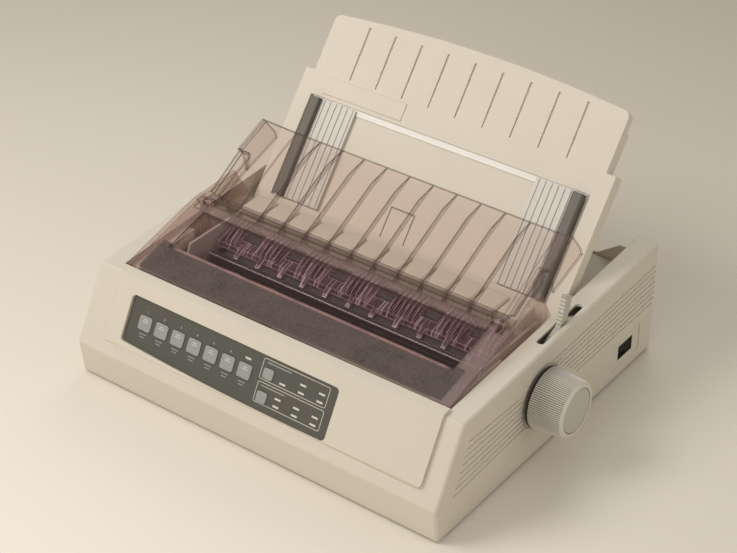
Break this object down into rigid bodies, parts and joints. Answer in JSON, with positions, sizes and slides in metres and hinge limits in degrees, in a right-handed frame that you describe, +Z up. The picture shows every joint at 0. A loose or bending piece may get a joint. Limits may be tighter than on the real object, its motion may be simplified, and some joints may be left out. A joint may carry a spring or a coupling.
{
  "type": "dot matrix printer",
  "caption": "Desk-top impact printer with a smoked front cover, a ribbed clear rear cover, a tilting sheet guide, a platen knob and a sloping key panel.",
  "frame": {"origin": "middle of the bounding box's bottom, on the desk under the rubber feet", "axes": "+X to the printer's right, where the platen knob is; +Y to its back; +Z up"},
  "size_m": [0.4338, 0.3533, 0.2496],
  "materials": {
    "case": "lightly textured",
    "case_base": "lightly textured",
    "panel_pad": "lightly textured",
    "key_panel": "satin",
    "keys": "satin",
    "lamps": "clear",
    "board": "satin",
    "smoked_cover": "smoked, glossy",
    "clear_cover": "clear, glossy",
    "clear_comb": "clear",
    "steel": "plated sheet",
    "shaft": "ground",
    "core": "turned",
    "rubber": "matt",
    "knob": "fluted",
    "inner_plastic": "satin",
    "chute": "satin",
    "white": "satin",
    "grip": "satin",
    "belt": "matt",
    "motor": "satin",
    "transformer": "laminated",
    "bail": "black, glossy",
    "switch": "satin",
    "screw": "plated",
    "guide": "lightly textured"
  },
  "bodies": {
    "case": {"upper_case": "case", "lower_case": "case_base", "case_screws": "screw", "rubber_feet": "rubber", "front_panel": "panel_pad", "key_panel": "key_panel", "key_board": "board", "status_lamps": "lamps", "hinge_brackets": "steel", "left_side_frame": "steel", "right_side_frame": "steel", "platen_bushes": "inner_plastic", "feed_motor": "motor", "paper_comb": "clear_comb", "paper_chute": "chute", "guide_shaft": "shaft", "front_rail": "steel", "drive_belt": "belt", "space_motor": "motor", "switch_housing": "switch", "mains_inlet": "switch", "interface_port": "grip", "main_board": "board", "transformer": "transformer", "rear_deck": "case_base"},
    "platen": {"platen_roller": "rubber", "platen_shaft": "core", "platen_knob": "knob", "knob_cap": "knob", "platen_gear": "white"},
    "idler_gear": {"idler_gear": "white"},
    "feed_pinion": {"feed_pinion": "white"},
    "pressure_rollers": {"pressure_rollers": "rubber", "pressure_shaft": "shaft"},
    "front_cover": {"front_cover": "smoked_cover"},
    "rear_cover": {"rear_cover": "clear_cover"},
    "sheet_guide": {"sheet_guide": "guide", "guide_rail_bar": "shaft"},
    "left_paper_guide": {"left_paper_guide": "white", "left_guide_grip": "grip"},
    "right_paper_guide": {"right_paper_guide": "white", "right_guide_grip": "grip"},
    "carriage": {"carriage": "inner_plastic", "print_head": "motor", "ribbon_cartridge": "inner_plastic"},
    "drive_pulley": {"drive_pulley": "inner_plastic"},
    "idler_pulley": {"idler_pulley": "inner_plastic"},
    "paper_bail": {"bail_rod": "bail", "bail_arms": "inner_plastic"},
    "release_lever": {"release_lever": "case"},
    "power_rocker": {"power_rocker": "switch"},
    "key_1": {"key_1": "keys"},
    "key_2": {"key_2": "keys"},
    "key_3": {"key_3": "keys"},
    "key_4": {"key_4": "keys"},
    "key_5": {"key_5": "keys"},
    "key_6": {"key_6": "keys"},
    "key_7": {"key_7": "keys"},
    "key_8": {"key_8": "keys"},
    "key_9": {"key_9": "keys"}
  },
  "joints": [
    {"name": "platen_spin", "type": "hinge", "parent": "case", "child": "platen", "pos_m": [-0.01795, -0.02119, 0.0616], "axis": [1, 0, 0], "continuous": true},
    {"name": "idler_spin", "type": "hinge", "parent": "case", "child": "idler_gear", "pos_m": [-0.18335, -0.00358, 0.03609], "axis": [1, 0, 0], "continuous": true},
    {"name": "feed_motor_spin", "type": "hinge", "parent": "case", "child": "feed_pinion", "pos_m": [-0.18335, 0.01331, 0.038], "axis": [1, 0, 0], "continuous": true},
    {"name": "pressure_roller_spin", "type": "hinge", "parent": "case", "child": "pressure_rollers", "pos_m": [-0.01795, -0.00525, 0.0806], "axis": [1, 0, 0], "continuous": true},
    {"name": "front_cover_hinge", "type": "hinge", "parent": "case", "child": "front_cover", "pos_m": [-0.01795, -0.03269, 0.12715], "axis": [-1, 0, 0], "range_deg": [0, 50]},
    {"name": "rear_cover_hinge", "type": "hinge", "parent": "case", "child": "rear_cover", "pos_m": [-0.01795, -0.03269, 0.12715], "axis": [1, 0, 0], "range_deg": [0, 65]},
    {"name": "sheet_guide_tilt", "type": "hinge", "parent": "case", "child": "sheet_guide", "pos_m": [-0.01795, 0.04616, 0.08232], "axis": [-1, 0, 0], "range_deg": [0, 36]},
    {"name": "left_guide_slide", "type": "slide", "parent": "sheet_guide", "child": "left_paper_guide", "axis": [1, 0, 0], "range_m": [0, 0.06]},
    {"name": "right_guide_slide", "type": "slide", "parent": "sheet_guide", "child": "right_paper_guide", "axis": [-1, 0, 0], "range_m": [0, 0.06]},
    {"name": "carriage_slide", "type": "slide", "parent": "case", "child": "carriage", "axis": [1, 0, 0], "range_m": [0, 0.2]},
    {"name": "drive_pulley_spin", "type": "hinge", "parent": "case", "child": "drive_pulley", "pos_m": [0.11205, -0.09869, 0.037], "axis": [0, 0, 1], "range_deg": [-0.5, 1791.5]},
    {"name": "idler_pulley_spin", "type": "hinge", "parent": "case", "child": "idler_pulley", "pos_m": [-0.16395, -0.09869, 0.037], "axis": [0, 0, 1], "range_deg": [-0.5, 1791.5]},
    {"name": "paper_bail_swing", "type": "hinge", "parent": "case", "child": "paper_bail", "pos_m": [-0.01795, -0.05469, 0.048], "axis": [1, 0, 0], "range_deg": [0, 24]},
    {"name": "release_lever_tilt", "type": "hinge", "parent": "case", "child": "release_lever", "pos_m": [0.17205, 0.02231, 0.066], "axis": [1, 0, 0], "range_deg": [-20, 30]},
    {"name": "power_rocker_tilt", "type": "hinge", "parent": "case", "child": "power_rocker", "pos_m": [0.17415, 0.12581, 0.027], "axis": [0, 0, 1], "range_deg": [0, 16]},
    {"name": "key_1_press", "type": "slide", "parent": "case", "child": "key_1", "axis": [0.0188, 0.8725, -0.4883], "range_m": [0, 0.001], "stiffness_N_per_m": 400},
    {"name": "key_2_press", "type": "slide", "parent": "case", "child": "key_2", "axis": [0.0188, 0.8725, -0.4883], "range_m": [0, 0.001], "stiffness_N_per_m": 400},
    {"name": "key_3_press", "type": "slide", "parent": "case", "child": "key_3", "axis": [0.0188, 0.8725, -0.4883], "range_m": [0, 0.001], "stiffness_N_per_m": 400},
    {"name": "key_4_press", "type": "slide", "parent": "case", "child": "key_4", "axis": [0.0188, 0.8725, -0.4883], "range_m": [0, 0.001], "stiffness_N_per_m": 400},
    {"name": "key_5_press", "type": "slide", "parent": "case", "child": "key_5", "axis": [0.0188, 0.8725, -0.4883], "range_m": [0, 0.001], "stiffness_N_per_m": 400},
    {"name": "key_6_press", "type": "slide", "parent": "case", "child": "key_6", "axis": [0.0188, 0.8725, -0.4883], "range_m": [0, 0.001], "stiffness_N_per_m": 400},
    {"name": "key_7_press", "type": "slide", "parent": "case", "child": "key_7", "axis": [0.0188, 0.8725, -0.4883], "range_m": [0, 0.001], "stiffness_N_per_m": 400},
    {"name": "key_8_press", "type": "slide", "parent": "case", "child": "key_8", "axis": [0.0188, 0.8725, -0.4883], "range_m": [0, 0.001], "stiffness_N_per_m": 400},
    {"name": "key_9_press", "type": "slide", "parent": "case", "child": "key_9", "axis": [0.0188, 0.8725, -0.4883], "range_m": [0, 0.001], "stiffness_N_per_m": 400}
  ],
  "couplings": [
    {"joint": "idler_spin", "follows": "platen_spin", "ratio": -1.8182},
    {"joint": "feed_motor_spin", "follows": "platen_spin", "ratio": 3.3333},
    {"joint": "pressure_roller_spin", "follows": "platen_spin", "ratio": -2.2667},
    {"joint": "drive_pulley_spin", "follows": "carriage_slide", "rad_per_m": 156.25},
    {"joint": "idler_pulley_spin", "follows": "carriage_slide", "rad_per_m": 156.25}
  ]
}
